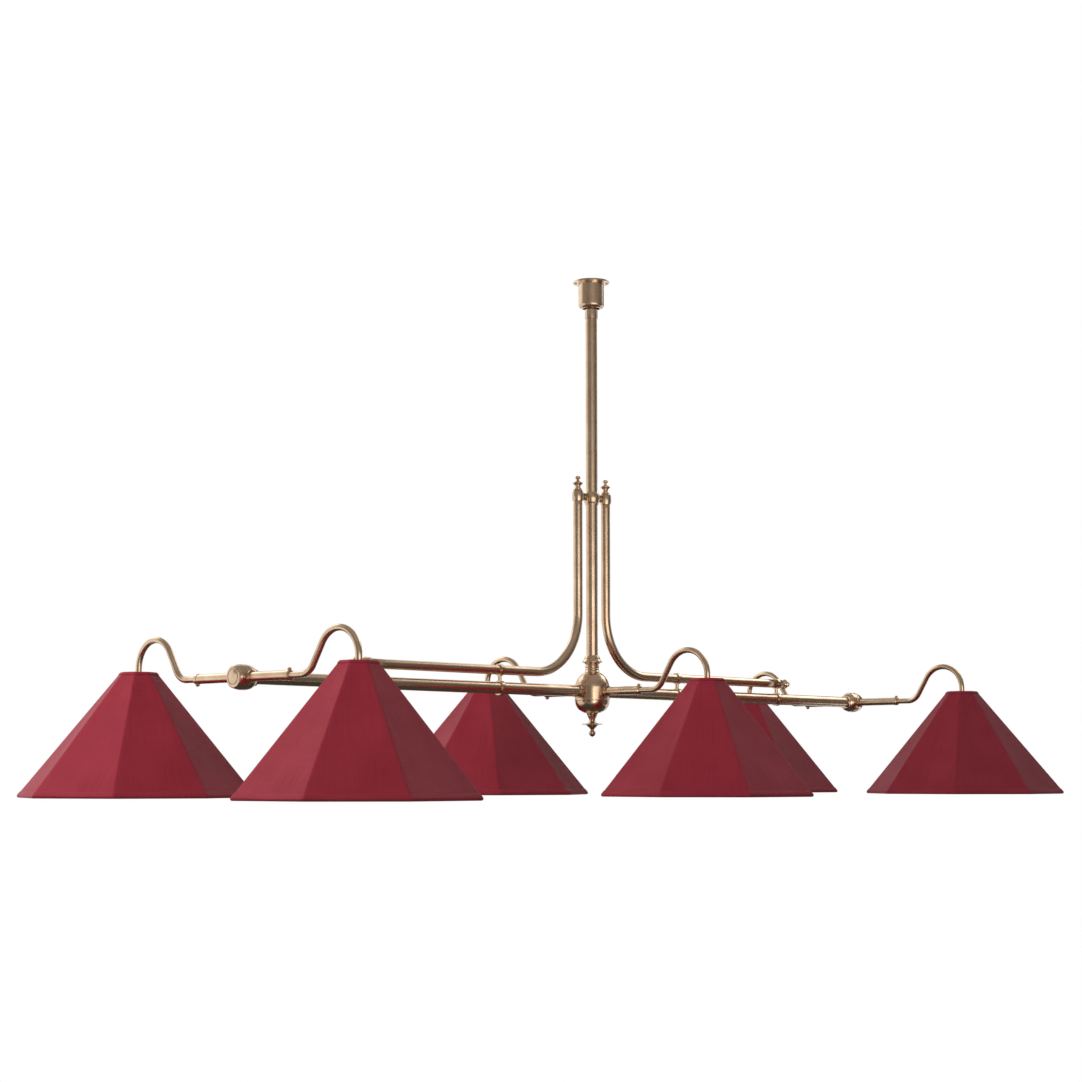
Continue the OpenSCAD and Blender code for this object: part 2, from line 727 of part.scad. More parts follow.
module arm_collar(k) {
    bore_r = neck_r + run_gap;
    spigot_r = arm_r - tube_wall - fit_gap;
    difference() {
        rotate([-90, 0, 0]) rotate_extrude()
            polygon([[0, arm_len - spigot_h], [spigot_r, arm_len - spigot_h], [spigot_r, arm_len],
                     [collar_r - 1, arm_len], [collar_r, arm_len + 1],
                     [collar_r, arm_len + collar_h - 2.5], [collar_r - 2.5, arm_len + collar_h],
                     [0, arm_len + collar_h]]);
        along_y(arm_len - spigot_h - over, bore_r, spigot_h + collar_h + 2 * over);
        translate([0, knob_y, 0]) clamp_side(k)
            cylinder(r = knob_screw_d / 2 + run_gap, h = collar_r + over);
    }
}

module arm_collars() color(BRASS) {
    for (k = LAMPS) at_lamp(k) arm_collar(k);
}

module knob(k) color(DARK_BRASS) {
    screw_r = knob_screw_d / 2;
    knob_r = knob_d / 2;
    tip = neck_r + knob_tip_gap;
    seat = collar_r + free_gap;
    rim = 1.6;
    dome_h = knob_h - rim;
    dome_r = (knob_r * knob_r + dome_h * dome_h) / (2 * dome_h);
    at_lamp(k) translate([0, knob_y, 0]) clamp_side(k) rotate_extrude()
        polygon(concat(
            [[0, tip], [screw_r, tip], [screw_r, seat], [knob_r - 0.8, seat], [knob_r, seat + 0.8]],
            arc_points(0, seat + knob_h - dome_r, dome_r, acos(knob_r / dome_r), 90, 10)));
}

// ---------- goosenecks ----------

// Solid rod along the gooseneck's axis: arm end, first bend, rise, top bend and drop.
// extra lengthens it past both ends.
module gooseneck_rod(r, extra) {
    rise_y = neck_start + neck_bend_1 * bend_sin;
    rise_z = neck_bend_1 * (1 - bend_cos);
    along_y(neck_in - extra, r, neck_start - neck_in + extra);
    translate([0, neck_start, 0]) rotate([0, 0, 90]) bend_up(r, neck_bend_1, neck_rise_deg);
    translate([0, rise_y, rise_z]) rotate([neck_rise_deg, 0, 0]) {
        along_y(seam_gap, r, neck_straight - 2 * seam_gap);
        for (y = [0, neck_straight]) translate([0, y, 0]) sphere(r = r + seam_bead);
    }
    translate([0, neck_top_y, neck_centre_z]) rotate([0, 90, 0]) rotate([0, 0, 90])
        rotate_extrude(angle = 90 + neck_rise_deg) translate([neck_bend_2, 0]) circle(r = r);
    translate([0, lamp_y, neck_foot_z - extra]) cylinder(r = r, h = neck_centre_z - neck_foot_z + extra);
}

module gooseneck(k) color(BRASS) {
    at_lamp(k) difference() {
        gooseneck_rod(neck_r, 0);
        gooseneck_rod(neck_r - neck_wall, over);
    }
}

// ---------- lampholders and bulbs ----------

module lampholder(k) color(DARK_BRASS) {
    at_lamp(k) translate([0, lamp_y, 0]) rotate_extrude()
        polygon([[neck_r + fit_gap, neck_foot_z], [neck_r + fit_gap, holder_top], [neck_r + 2, holder_top],
                 [neck_r + 2.4, holder_top - 2], [neck_r + 2.4, 10], [neck_r + 6, 6], [holder_r - 0.6, 2],
                 [holder_r, 0], [holder_r, flange_z], [skirt_r, flange_z], [skirt_r, nut_top],
                 [nut_r, nut_top], [nut_r, nut_top - nut_h], [skirt_r, nut_top - nut_h],
                 [skirt_r, skirt_foot], [holder_bore_r, skirt_foot], [holder_bore_r, bulb_top + fit_gap],
                 [holder_wire_r, bulb_top + fit_gap], [holder_wire_r, neck_foot_z]]);
}

module bulb(k) color(GLASS) {
    neck_outer = cap_r - 0.4;
    join_deg = acos(neck_outer / bulb_r);
    inner_r = bulb_r - glass_t;
    inner_neck = neck_outer - glass_t;
    inner_deg = acos(inner_neck / inner_r);
    at_lamp(k) translate([0, lamp_y, 0]) rotate_extrude()
        polygon(concat(
            [[cap_r - glass_t, bulb_top], [cap_r, bulb_top], [cap_r, glass_neck_z],
             [neck_outer, glass_neck_z - 1]],
            arc_points(0, -bulb_z, bulb_r, join_deg, -90, 20),
            arc_points(0, -bulb_z, inner_r, -90, inner_deg, 20),
            [[inner_neck, glass_neck_z - 1], [cap_r - glass_t, glass_neck_z]]));
}

// ---------- shades ----------

module octagon_prism(corner_r, height) {
    linear_extrude(height) circle(r = corner_r, $fn = 8);
}

module wire_between(from, to) {
    run = to - from;
    translate(from)
        rotate([0, acos(run[2] / norm(run)), atan2(run[1], run[0])])
            cylinder(d = wire_d, h = norm(run), $fn = 24);
}

// Octagonal rim of square bar, just inside the fabric
module frame_rim(z, corner_r) {
    translate([0, 0, z]) difference() {
        octagon_prism(corner_r, wire_d);
        translate([0, 0, -over]) octagon_prism(corner_r - wire_d / corner_k, wire_d + 2 * over);
    }
}

module at_shade(k) {
    at_lamp(k) translate([0, lamp_y, 0]) rotate([0, 0, shade_turns[k - 1] + 22.5]) children();
}

module shade_frame(k) color(STEEL) {
    low = shade_foot_z + wire_edge;
    high = shade_top_z - wire_edge - wire_d;
    low_corner = shade_corner(low + wire_d) - wall_corner - fit_gap;
    high_corner = shade_corner(high + wire_d) - wall_corner - fit_gap;
    rib_low = [shade_corner(low + wire_d / 2) - rib_inset, 0, low + wire_d / 2];
    rib_high = [shade_corner(high + wire_d / 2) - rib_inset, 0, high + wire_d / 2];
    at_shade(k) union() {
        frame_rim(low, low_corner);
        frame_rim(high, high_corner);
        for (i = [0:7]) rotate([0, 0, 45 * i]) wire_between(rib_low, rib_high);
        for (i = [0:3])
            rotate([0, 0, 90 * i])
                wire_between([carrier_r - wire_d / 2, 0, carrier_foot + carrier_t / 2], rib_high);
        translate([0, 0, carrier_foot]) difference() {
            cylinder(r = carrier_r, h = carrier_t);
            translate([0, 0, -over]) cylinder(r = skirt_r + free_gap, h = carrier_t + 2 * over);
        }
    }
}

module shade(k) color(BURGUNDY) {
    at_shade(k) translate([0, 0, shade_foot_z]) difference() {
        cylinder(r1 = shade_r, r2 = shade_top_r, h = shade_h, $fn = 8);
        translate([0, 0, -over])
            cylinder(r1 = shade_r - wall_corner + over * (shade_r - shade_top_r) / shade_h,
                     r2 = shade_top_r - wall_corner - over * (shade_r - shade_top_r) / shade_h,
                     h = shade_h + 2 * over, $fn = 8);
    }
}

ceiling_plate();
ceiling_cup();
cup_screws();
swivel_socket();
seat_washer();
swivel_ball();
stem_coupler();
stem_tube();
yoke_clamp();
yoke_screws();
brace_left();
brace_right();
brace_finials();
rail_links();
ball_neck();
ball_upper_shell();
ball_lower_shell();
junction_block();
bottom_finial();
rails();
end_hubs();
end_caps();
arm_tubes();
arm_collars();
for (k = LAMPS) {
    gooseneck(k);
    knob(k);
    lampholder(k);
    bulb(k);
    shade_frame(k);
    shade(k);
}
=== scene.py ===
"""Looks of a six-shade pool table lamp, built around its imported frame.

Lengths are metres. Outlines of turned and wrapped pieces are written in millimetres and multiplied by MM.
"""

import bmesh
import bpy
import numpy as np
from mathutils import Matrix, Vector


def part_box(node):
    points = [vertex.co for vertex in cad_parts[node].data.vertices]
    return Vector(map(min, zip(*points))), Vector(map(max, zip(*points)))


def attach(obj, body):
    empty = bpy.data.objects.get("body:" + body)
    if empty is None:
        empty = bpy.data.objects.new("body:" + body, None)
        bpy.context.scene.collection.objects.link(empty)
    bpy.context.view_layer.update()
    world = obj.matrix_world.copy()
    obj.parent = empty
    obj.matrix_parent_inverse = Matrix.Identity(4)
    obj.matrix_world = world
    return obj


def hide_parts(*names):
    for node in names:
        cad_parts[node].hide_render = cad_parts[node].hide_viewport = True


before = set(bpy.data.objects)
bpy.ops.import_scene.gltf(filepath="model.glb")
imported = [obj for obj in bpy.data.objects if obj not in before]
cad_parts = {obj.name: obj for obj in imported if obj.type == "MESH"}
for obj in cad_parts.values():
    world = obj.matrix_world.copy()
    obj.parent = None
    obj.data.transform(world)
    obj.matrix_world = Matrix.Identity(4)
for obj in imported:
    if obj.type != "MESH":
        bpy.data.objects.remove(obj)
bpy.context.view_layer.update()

MM = 0.001
LAMPS = range(1, 7)
SIDES = 8
HALF_SIDE = np.pi / SIDES


# ---------- places, taken from the frame ----------

def middle(node):
    """Middle of a node's box."""
    low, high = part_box(node)
    return (low + high) / 2


RAIL_Z = middle("rails").z
LAMP_AXES = {k: middle(f"lampholder_{k}") for k in LAMPS}


def shade_measures(k):
    """Axis, heights, corner radii and first corner angle of one shade, read from its node's corner points."""
    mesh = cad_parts[f"shade_{k}"].data
    points = np.empty(len(mesh.vertices) * 3)
    mesh.vertices.foreach_get("co", points)
    points = points.reshape(-1, 3)
    axis = (points.min(axis=0) + points.max(axis=0)) / 2
    flat = points[:, :2] - axis[:2]
    reach = np.hypot(flat[:, 0], flat[:, 1])
    corner = flat[np.argmax(reach)]
    top = points[:, 2] > points[:, 2].max() - 0.0005
    return {"x": axis[0], "y": axis[1], "foot": points[:, 2].min(), "top": points[:, 2].max(),
            "foot_r": reach.max(), "top_r": reach[top].max(), "corner": np.arctan2(corner[1], corner[0])}


# ---------- camera, light and room ----------

CAMERA_PLACE = (-3.87, -3.49, -1.206)
CAMERA_HEADING = np.radians(46.6)
CAMERA_RISE = np.radians(6.19)
CAMERA_LENS_MM = 71.86
FLOOR_DEPTH = 2.7
FLOOR_SIDE = 6.4
AIM = Vector((0, 0, RAIL_Z))


# Name, heading, rise, distance, width, height and tone of each card that metal and satin reflect
STUDIO_CARDS = [
    ("room card front left", 258, 0, 6.0, 6.4, 6.0, 0.24),
    ("room card right", 138, 0, 6.0, 7.6, 6.0, 0.13),
    ("front box", 199, -8, 5.8, 4.2, 3.6, 1.7),
    ("front strip", 215, -8, 5.7, 0.7, 3.6, 3.0),
    ("high box right", 92, 37, 4.6, 2.6, 1.7, 2.4),
    ("high box left", 352, 37, 4.6, 2.6, 1.7, 2.0),
    ("thin flag back left", 28, 0, 6.0, 0.8, 6.0, 0.10),
    ("thin flag back right", 66, 0, 6.0, 0.8, 6.0, 0.10),
    ("upper wall right", 165, 30, 6.2, 9.0, 4.6, 0.24),
    ("upper wall left", 280, 30, 6.2, 8.0, 4.6, 0.30),
    ("upper wall front", 224, 29, 6.4, 5.6, 4.4, 0.34),
    ("dark card back right", 72, 17, 5.6, 4.6, 1.9, 0.05),
    ("ceiling card", 228, 89, 3.6, 6.4, 6.4, 0.34),
    ("ground card", 228, -89, 1.6, 5.6, 5.6, 0.06),
]


def placed(name, data):
    """A new object in the scene."""
    thing = bpy.data.objects.new(name, data)
    bpy.context.scene.collection.objects.link(thing)
    return thing


def set_camera():
    """Camera level with the shades, looking a little up along the lamp's diagonal."""
    data = bpy.data.cameras.new("camera")
    data.lens = CAMERA_LENS_MM
    data.sensor_width = 36
    camera = placed("camera", data)
    camera.location = CAMERA_PLACE
    look = Vector((np.sin(CAMERA_HEADING) * np.cos(CAMERA_RISE), np.cos(CAMERA_HEADING) * np.cos(CAMERA_RISE),
                   np.sin(CAMERA_RISE)))
    camera.rotation_euler = look.to_track_quat("-Z", "Y").to_euler()
    bpy.context.scene.camera = camera


def node(tree, kind, inputs=None, **settings):
    """A node with its settings, whose inputs are set to values or linked to sockets."""
    made = tree.nodes.new(kind)
    for name, value in settings.items():
        setattr(made, name, value)
    for name, value in (inputs or {}).items():
        if isinstance(value, bpy.types.NodeSocket):
            tree.links.new(value, made.inputs[name])
        else:
            made.inputs[name].default_value = value
    return made


def seen_directly(tree):
    """1 for camera, glossy and transmission rays, which all see the plain background."""
    path = node(tree, "ShaderNodeLightPath").outputs
    either = node(tree, "ShaderNodeMath", {0: path["Is Camera Ray"], 1: path["Is Glossy Ray"]},
                  operation="MAXIMUM")
    return node(tree, "ShaderNodeMath", {0: either.outputs[0], 1: path["Is Transmission Ray"]},
                operation="MAXIMUM").outputs[0]


def set_world(level):
    """White background, and a soft grey light of the given level on every surface."""
    world = bpy.data.worlds.new("studio")
    bpy.context.scene.world = world
    world.use_nodes = True
    tree = world.node_tree
    tree.nodes.clear()
    fill = node(tree, "ShaderNodeBackground", {"Color": (1, 0.98, 0.96, 1), "Strength": level})
    white = node(tree, "ShaderNodeBackground", {"Color": (1, 1, 1, 1), "Strength": 1.0})
    mix = node(tree, "ShaderNodeMixShader", {0: seen_directly(tree), 1: fill.outputs[0], 2: white.outputs[0]})
    node(tree, "ShaderNodeOutputWorld", {"Surface": mix.outputs[0]})


def towards(heading_deg, rise_deg, distance):
    """Point at a compass heading and rise from the middle of the lamp; heading 0 is +Y, 90 is +X."""
    heading, rise = np.radians(heading_deg), np.radians(rise_deg)
    return AIM + distance * Vector((np.sin(heading) * np.cos(rise), np.cos(heading) * np.cos(rise),
                                    np.sin(rise)))


def facing(thing, place):
    """Puts a light or a card at a place, turned to the middle of the lamp."""
    thing.location = place
    thing.rotation_euler = (AIM - place).to_track_quat("-Z", "Y").to_euler()


def softbox(name, heading_deg, rise_deg, distance, width, height, watts):
    """A plain rectangular lamp aimed at the middle of the lamp; reflections see the studio cards instead."""
    data = bpy.data.lights.new(name, "AREA")
    data.shape = "RECTANGLE"
    data.size = width
    data.size_y = height
    data.energy = watts
    lamp = placed(name, data)
    facing(lamp, towards(heading_deg, rise_deg, distance))
    lamp.visible_glossy = False


def studio_card(name, heading_deg, rise_deg, distance, width, height, tone):
    """A studio card of one tone that only reflections see; 1 is as bright as the white background."""
    paint = bpy.data.materials.new(name)
    paint.use_nodes = True
    paint.node_tree.nodes.clear()
    glow = node(paint.node_tree, "ShaderNodeEmission", {"Color": (1, 0.97, 0.93, 1), "Strength": tone})
    node(paint.node_tree, "ShaderNodeOutputMaterial", {"Surface": glow.outputs[0]})
    mesh = bpy.data.meshes.new(name)
    corners = [(-width / 2, -height / 2, 0), (width / 2, -height / 2, 0), (width / 2, height / 2, 0),
               (-width / 2, height / 2, 0)]
    mesh.from_pydata(corners, [], [(0, 1, 2, 3)])
    mesh.materials.append(paint)
    card = placed(name, mesh)
    facing(card, towards(heading_deg, rise_deg, distance))
    card.visible_camera = False
    card.visible_diffuse = False
    card.visible_transmission = False
    card.visible_volume_scatter = False
    card.visible_shadow = False


def set_floor():
    """Plain pale floor below the lamp; it is seen as white and keeps the lamp's shadow."""
    paint = bpy.data.materials.new("pale floor")
    paint.use_nodes = True
    surface = paint.node_tree.nodes["Principled BSDF"]
    surface.inputs["Base Color"].default_value = (0.86, 0.85, 0.84, 1)
    surface.inputs["Roughness"].default_value = 0.9
    half = FLOOR_SIDE / 2
    mesh = bpy.data.meshes.new("floor")
    mesh.from_pydata([(-half, -half, -FLOOR_DEPTH), (half, -half, -FLOOR_DEPTH), (half, half, -FLOOR_DEPTH),
                      (-half, half, -FLOOR_DEPTH)], [], [(0, 1, 2, 3)])
    mesh.materials.append(paint)
    placed("floor", mesh)


# ---------- shader groups ----------

def new_group(name, inputs, outputs):
    """An empty shader group; inputs and outputs are lists of (name, socket type)."""
    tree = bpy.data.node_groups.new(name, "ShaderNodeTree")
    for label, kind in inputs:
        tree.interface.new_socket(label, in_out="INPUT", socket_type=kind)
    for label, kind in outputs:
        tree.interface.new_socket(label, in_out="OUTPUT", socket_type=kind)
    return tree, tree.nodes.new("NodeGroupInput").outputs, tree.nodes.new("NodeGroupOutput")


def grain(tree, vector, scale, detail=2.0):
    """Noise value from 0 to 1."""
    return node(tree, "ShaderNodeTexNoise", {"Vector": vector, "Scale": scale, "Detail": detail}).outputs[0]


def combine(tree, operation, first, second):
    """One arithmetic step between two values."""
    return node(tree, "ShaderNodeMath", {0: first, 1: second}, operation=operation).outputs[0]


def between(tree, value, low, high, to_low=0.0, to_high=1.0):
    """Value mapped from one range to another, and held inside it."""
    return node(tree, "ShaderNodeMapRange", {"Value": value, "From Min": low, "From Max": high,
                                             "To Min": to_low, "To Max": to_high}).outputs[0]


def tinted(tree, share, first, second):
    """Colour between two colours."""
    mix = node(tree, "ShaderNodeMix", {0: share, 6: first, 7: second}, data_type="RGBA")
    return mix.outputs[2]


def lacquered_brass_group():
    """Cloudy brass tone: soft clouds and faint specks between a deep and a bright tone, deeper in grooves and
    brighter on ridges, following each point's relief.
    """
    tree, given, result = new_group(
        "lacquered brass",
        [("Vector", "NodeSocketVector"), ("Relief", "NodeSocketFloat"), ("Bright", "NodeSocketColor"),
         ("Deep", "NodeSocketColor"), ("Clouds", "NodeSocketFloat")],
        [("Color", "NodeSocketColor"), ("Roughness", "NodeSocketFloat")])
    clouds = grain(tree, given["Vector"], given["Clouds"], 4.0)
    specks = grain(tree, given["Vector"], combine(tree, "MULTIPLY", given["Clouds"], 6.0), 2.0)
    tone = combine(tree, "ADD", between(tree, clouds, 0.3, 0.72),
                   between(tree, specks, 0.3, 0.7, -0.04, 0.04))
    # Darker where the outline is sunken and lighter where it is proud, following the point's relief.
    relief_tone = combine(tree, "ADD", tone, combine(tree, "MULTIPLY", given["Relief"], 0.7))
    share = between(tree, relief_tone, 0.0, 1.0)
    tree.links.new(tinted(tree, share, given["Deep"], given["Bright"]), result.inputs["Color"])
    tree.links.new(between(tree, share, 0.0, 1.0, 0.26, 0.20), result.inputs["Roughness"])
    return tree


def drawn_lines_group():
    """Fine parallel lines left by drawing or turning: noise on coordinates stretched along the lines."""
    tree, given, result = new_group(
        "drawn lines", [("Vector", "NodeSocketVector"), ("Stretch", "NodeSocketVector")],
        [("Height", "NodeSocketFloat")])
    laid = node(tree, "ShaderNodeVectorMath", {0: given["Vector"], 1: given["Stretch"]}, operation="MULTIPLY")
    tree.links.new(grain(tree, laid.outputs[0], 1.0, 3.0), result.inputs["Height"])
    return tree


def satin_weave_group():
    """Satin: long warp slubs, weaker weft slubs and the fine thread grid, as a height and a tone."""
    tree, given, result = new_group(
        "satin weave", [("Vector", "NodeSocketVector"), ("Threads", "NodeSocketFloat")],
        [("Height", "NodeSocketFloat"), ("Tone", "NodeSocketFloat")])
    warp = node(tree, "ShaderNodeVectorMath", {0: given["Vector"], 1: (640, 9, 1)}, operation="MULTIPLY")
    weft = node(tree, "ShaderNodeVectorMath", {0: given["Vector"], 1: (14, 780, 1)}, operation="MULTIPLY")
    warp_slubs = grain(tree, warp.outputs[0], 1.0, 2.0)
    weft_slubs = grain(tree, weft.outputs[0], 1.0, 2.0)
    soft = grain(tree, given["Vector"], 9.0, 3.0)
    apart = node(tree, "ShaderNodeSeparateXYZ", {0: given["Vector"]}).outputs
    across = combine(tree, "SINE", combine(tree, "MULTIPLY", apart[0], given["Threads"]), 0.0)
    along = combine(tree, "SINE", combine(tree, "MULTIPLY", apart[1], given["Threads"]), 0.0)
    grid = combine(tree, "MULTIPLY", across, along)
    slubs = combine(tree, "ADD", combine(tree, "MULTIPLY", warp_slubs, 0.6),
                    combine(tree, "MULTIPLY", weft_slubs, 0.4))
    height = combine(tree, "ADD", slubs, combine(tree, "MULTIPLY", grid, 0.25))
    tone = combine(tree, "ADD", between(tree, slubs, 0.35, 0.65, 0.0, 0.6),
                   between(tree, soft, 0.3, 0.7, 0.0, 0.4))
    tree.links.new(height, result.inputs["Height"])
    tree.links.new(tone, result.inputs["Tone"])
    return tree


GROUPS = {"brass": lacquered_brass_group(), "lines": drawn_lines_group(), "weave": satin_weave_group()}


def use_group(tree, key, inputs):
    """A copy of a shader group in a material."""
    made = tree.nodes.new("ShaderNodeGroup")
    made.node_tree = GROUPS[key]
    for name, value in inputs.items():
        if isinstance(value, bpy.types.NodeSocket):
            tree.links.new(value, made.inputs[name])
        else:
            made.inputs[name].default_value = value
    return made.outputs


# ---------- materials ----------

def fresh(name):
    """A new material with its tree, its Principled shader and nothing else linked."""
    paint = bpy.data.materials.new(name)
    paint.use_nodes = True
    return paint, paint.node_tree, paint.node_tree.nodes["Principled BSDF"]


def object_place(tree):
    """Object coordinates, in metres."""
    return node(tree, "ShaderNodeTexCoord").outputs["Object"]


def own_attribute(tree, name, output):
    """A piece's own attribute."""
    return node(tree, "ShaderNodeAttribute", attribute_name=name).outputs[output]


def raised(tree, shader, height, depth, strength=1.0):
    """Bump of the given depth, in metres."""
    bump = node(tree, "ShaderNodeBump", {"Height": height, "Distance": depth, "Strength": strength})
    tree.links.new(bump.outputs[0], shader.inputs["Normal"])


def brass(name, bright, deep, stretch, clouds=22.0, depth=0.000005, lay=False):
    """Satin brass with drawn or turned lines. lay says that the piece carries its own line direction."""
    paint, tree, shader = fresh(name)
    place = own_attribute(tree, "lay", "Vector") if lay else object_place(tree)
    relief = own_attribute(tree, "relief", "Fac")
    tone = use_group(tree, "brass", {"Vector": object_place(tree), "Relief": relief, "Bright": (*bright, 1),
                                     "Deep": (*deep, 1), "Clouds": clouds})
    lines = use_group(tree, "lines", {"Vector": place, "Stretch": stretch})["Height"]
    tree.links.new(tone["Color"], shader.inputs["Base Color"])
    rough = combine(tree, "ADD", tone["Roughness"], between(tree, lines, 0.3, 0.7, -0.02, 0.03))
    tree.links.new(rough, shader.inputs["Roughness"])
    shader.inputs["Metallic"].default_value = 1.0
    shader.inputs["Coat Weight"].default_value = 0.7
    shader.inputs["Coat Roughness"].default_value = 0.12
    raised(tree, shader, lines, depth)
    return paint


def satin(name, bright, deep):
    """Burgundy satin: woven tone, soft sheen, and threads that follow each panel."""
    paint, tree, shader = fresh(name)
    weave = use_group(tree, "weave", {"Vector": own_attribute(tree, "lay", "Vector"), "Threads": 9000.0})
    tree.links.new(tinted(tree, weave["Tone"], (*deep, 1), (*bright, 1)), shader.inputs["Base Color"])
    tree.links.new(between(tree, weave["Tone"], 0.0, 1.0, 0.56, 0.46), shader.inputs["Roughness"])
    shader.inputs["Sheen Weight"].default_value = 0.16
    shader.inputs["Sheen Roughness"].default_value = 0.3
    shader.inputs["Sheen Tint"].default_value = (1.0, 0.28, 0.34, 1)
    shader.inputs["Specular IOR Level"].default_value = 0.1
    raised(tree, shader, weave["Height"], 0.00012)
    return paint


def cotton(name, bright, deep):
    """Plain matt lining cloth."""
    paint, tree, shader = fresh(name)
    weave = use_group(tree, "weave", {"Vector": own_attribute(tree, "lay", "Vector"), "Threads": 7000.0})
    tree.links.new(tinted(tree, weave["Tone"], (*deep, 1), (*bright, 1)), shader.inputs["Base Color"])
    shader.inputs["Roughness"].default_value = 0.85
    raised(tree, shader, weave["Height"], 0.00010)
    return paint


def plain_metal(name, bright, deep, rough):
    """Coated wire or dull metal with a faint mottle."""
    paint, tree, shader = fresh(name)
    mottle = grain(tree, object_place(tree), 260.0, 3.0)
    tree.links.new(tinted(tree, mottle, (*deep, 1), (*bright, 1)), shader.inputs["Base Color"])
    tree.links.new(between(tree, mottle, 0.3, 0.7, rough - 0.06, rough + 0.06), shader.inputs["Roughness"])
    shader.inputs["Metallic"].default_value = 1.0
    raised(tree, shader, mottle, 0.00004)
    return paint


def opal_glass(name):
    """Opal bulb glass: milky, with a clear outer skin."""
    paint, tree, shader = fresh(name)
    haze = grain(tree, object_place(tree), 60.0, 2.0)
    tree.links.new(tinted(tree, haze, (0.86, 0.84, 0.79, 1), (0.93, 0.92, 0.89, 1)),
                   shader.inputs["Base Color"])
    tree.links.new(between(tree, haze, 0.3, 0.7, 0.12, 0.18), shader.inputs["Roughness"])
    shader.inputs["Coat Weight"].default_value = 0.6
    shader.inputs["Coat Roughness"].default_value = 0.05
    return paint


def pressed_fibre(name):
    """Brown vulcanised fibre."""
    paint, tree, shader = fresh(name)
    flecks = grain(tree, object_place(tree), 900.0, 4.0)
    tree.links.new(tinted(tree, flecks, (0.09, 0.04, 0.025, 1), (0.17, 0.085, 0.05, 1)),
                   shader.inputs["Base Color"])
    shader.inputs["Roughness"].default_value = 0.7
    raised(tree, shader, flecks, 0.00008)
    return paint


BRASS_BRIGHT = (0.78, 0.57, 0.39)
BRASS_DEEP = (0.62, 0.41, 0.25)
AROUND = 700.0
ALONG = 6.0
PAINTS = {
    "tube_x": brass("drawn brass along x", BRASS_BRIGHT, BRASS_DEEP, (ALONG, AROUND, AROUND)),
    "tube_y": brass("drawn brass along y", BRASS_BRIGHT, BRASS_DEEP, (AROUND, ALONG, AROUND)),
    "tube_z": brass("drawn brass along z", BRASS_BRIGHT, BRASS_DEEP, (AROUND, AROUND, ALONG)),
    "bent": brass("drawn brass on bends", BRASS_BRIGHT, BRASS_DEEP, (AROUND, AROUND, ALONG), lay=True),
    "turned": brass("turned brass", BRASS_BRIGHT, BRASS_DEEP, (30, 30, 1400), clouds=40.0, lay=True),
    "cast": brass("satin brass", BRASS_BRIGHT, BRASS_DEEP, (260, 260, 260), clouds=40.0),
    "holder": brass("holder brass", (0.50, 0.29, 0.16), (0.30, 0.16, 0.085), (120, 120, 900), clouds=50.0),
    "satin": satin("burgundy satin", (0.240, 0.023, 0.036), (0.168, 0.013, 0.022)),
    "lining": cotton("cream lining", (0.80, 0.74, 0.62), (0.72, 0.65, 0.52)),
    "wire": plain_metal("coated wire", (0.62, 0.62, 0.60), (0.42, 0.42, 0.41), 0.34),
    "glass": opal_glass("opal glass"),
    "fibre": pressed_fibre("pressed fibre"),
}


# ---------- shapes ----------

def quads(rows, columns, close_rows=False, close_columns=True):
    """Quads of a grid of rows by columns, as an array of four corners each."""
    r = np.arange(rows if close_rows else rows - 1)[:, None]
    c = np.arange(columns if close_columns else columns - 1)[None, :]
    r2, c2 = (r + 1) % rows, (c + 1) % columns
    return np.stack([r * columns + c, r * columns + c2, r2 * columns + c2, r2 * columns + c],
                    axis=-1).reshape(-1, 4)


def shape(points, lay, faces, relief=None):
    """A shape's arrays: points, line direction, faces, and how proud (+) or sunken (-) each point is."""
    points = points.reshape(-1, 3)
    relief = np.zeros(len(points)) if relief is None else relief.reshape(-1)
    return points, lay.reshape(-1, 3), faces, relief


def together(shapes):
    """Several shapes as one."""
    starts = np.cumsum([0] + [len(s[0]) for s in shapes[:-1]])
    return (np.concatenate([s[0] for s in shapes]), np.concatenate([s[1] for s in shapes]),
            np.concatenate([s[2] + start for s, start in zip(shapes, starts)]),
            np.concatenate([s[3] for s in shapes]))


def piece(name, form, paint, body, replaced=(), closed=True):
    """Turns a shape into a piece: merged poles, outward faces, smooth shading, its paint, body and slot."""
    points, lay, faces, relief = form
    mesh = bpy.data.meshes.new(name)
    mesh.vertices.add(len(points))
    mesh.vertices.foreach_set("co", points.ravel())
    mesh.loops.add(faces.size)
    mesh.loops.foreach_set("vertex_index", faces.ravel())
    mesh.polygons.add(len(faces))
    mesh.polygons.foreach_set("loop_start", np.arange(len(faces)) * 4)
    mesh.update(calc_edges=True)
    mesh.attributes.new("lay", "FLOAT_VECTOR", "POINT").data.foreach_set("vector", lay.ravel())
    mesh.attributes.new("relief", "FLOAT", "POINT").data.foreach_set("value", relief)
    if closed:
        solid = bmesh.new()
        solid.from_mesh(mesh)
        bmesh.ops.remove_doubles(solid, verts=solid.verts, dist=1e-6)
        bmesh.ops.recalc_face_normals(solid, faces=solid.faces)
        solid.to_mesh(mesh)
        solid.free()
    mesh.polygons.foreach_set("use_smooth", np.ones(len(mesh.polygons), bool))
    mesh.materials.append(PAINTS[paint])
    mesh.update()
    made = placed(name, mesh)
    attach(made, body)
    if replaced:
        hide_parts(*replaced)
    return made


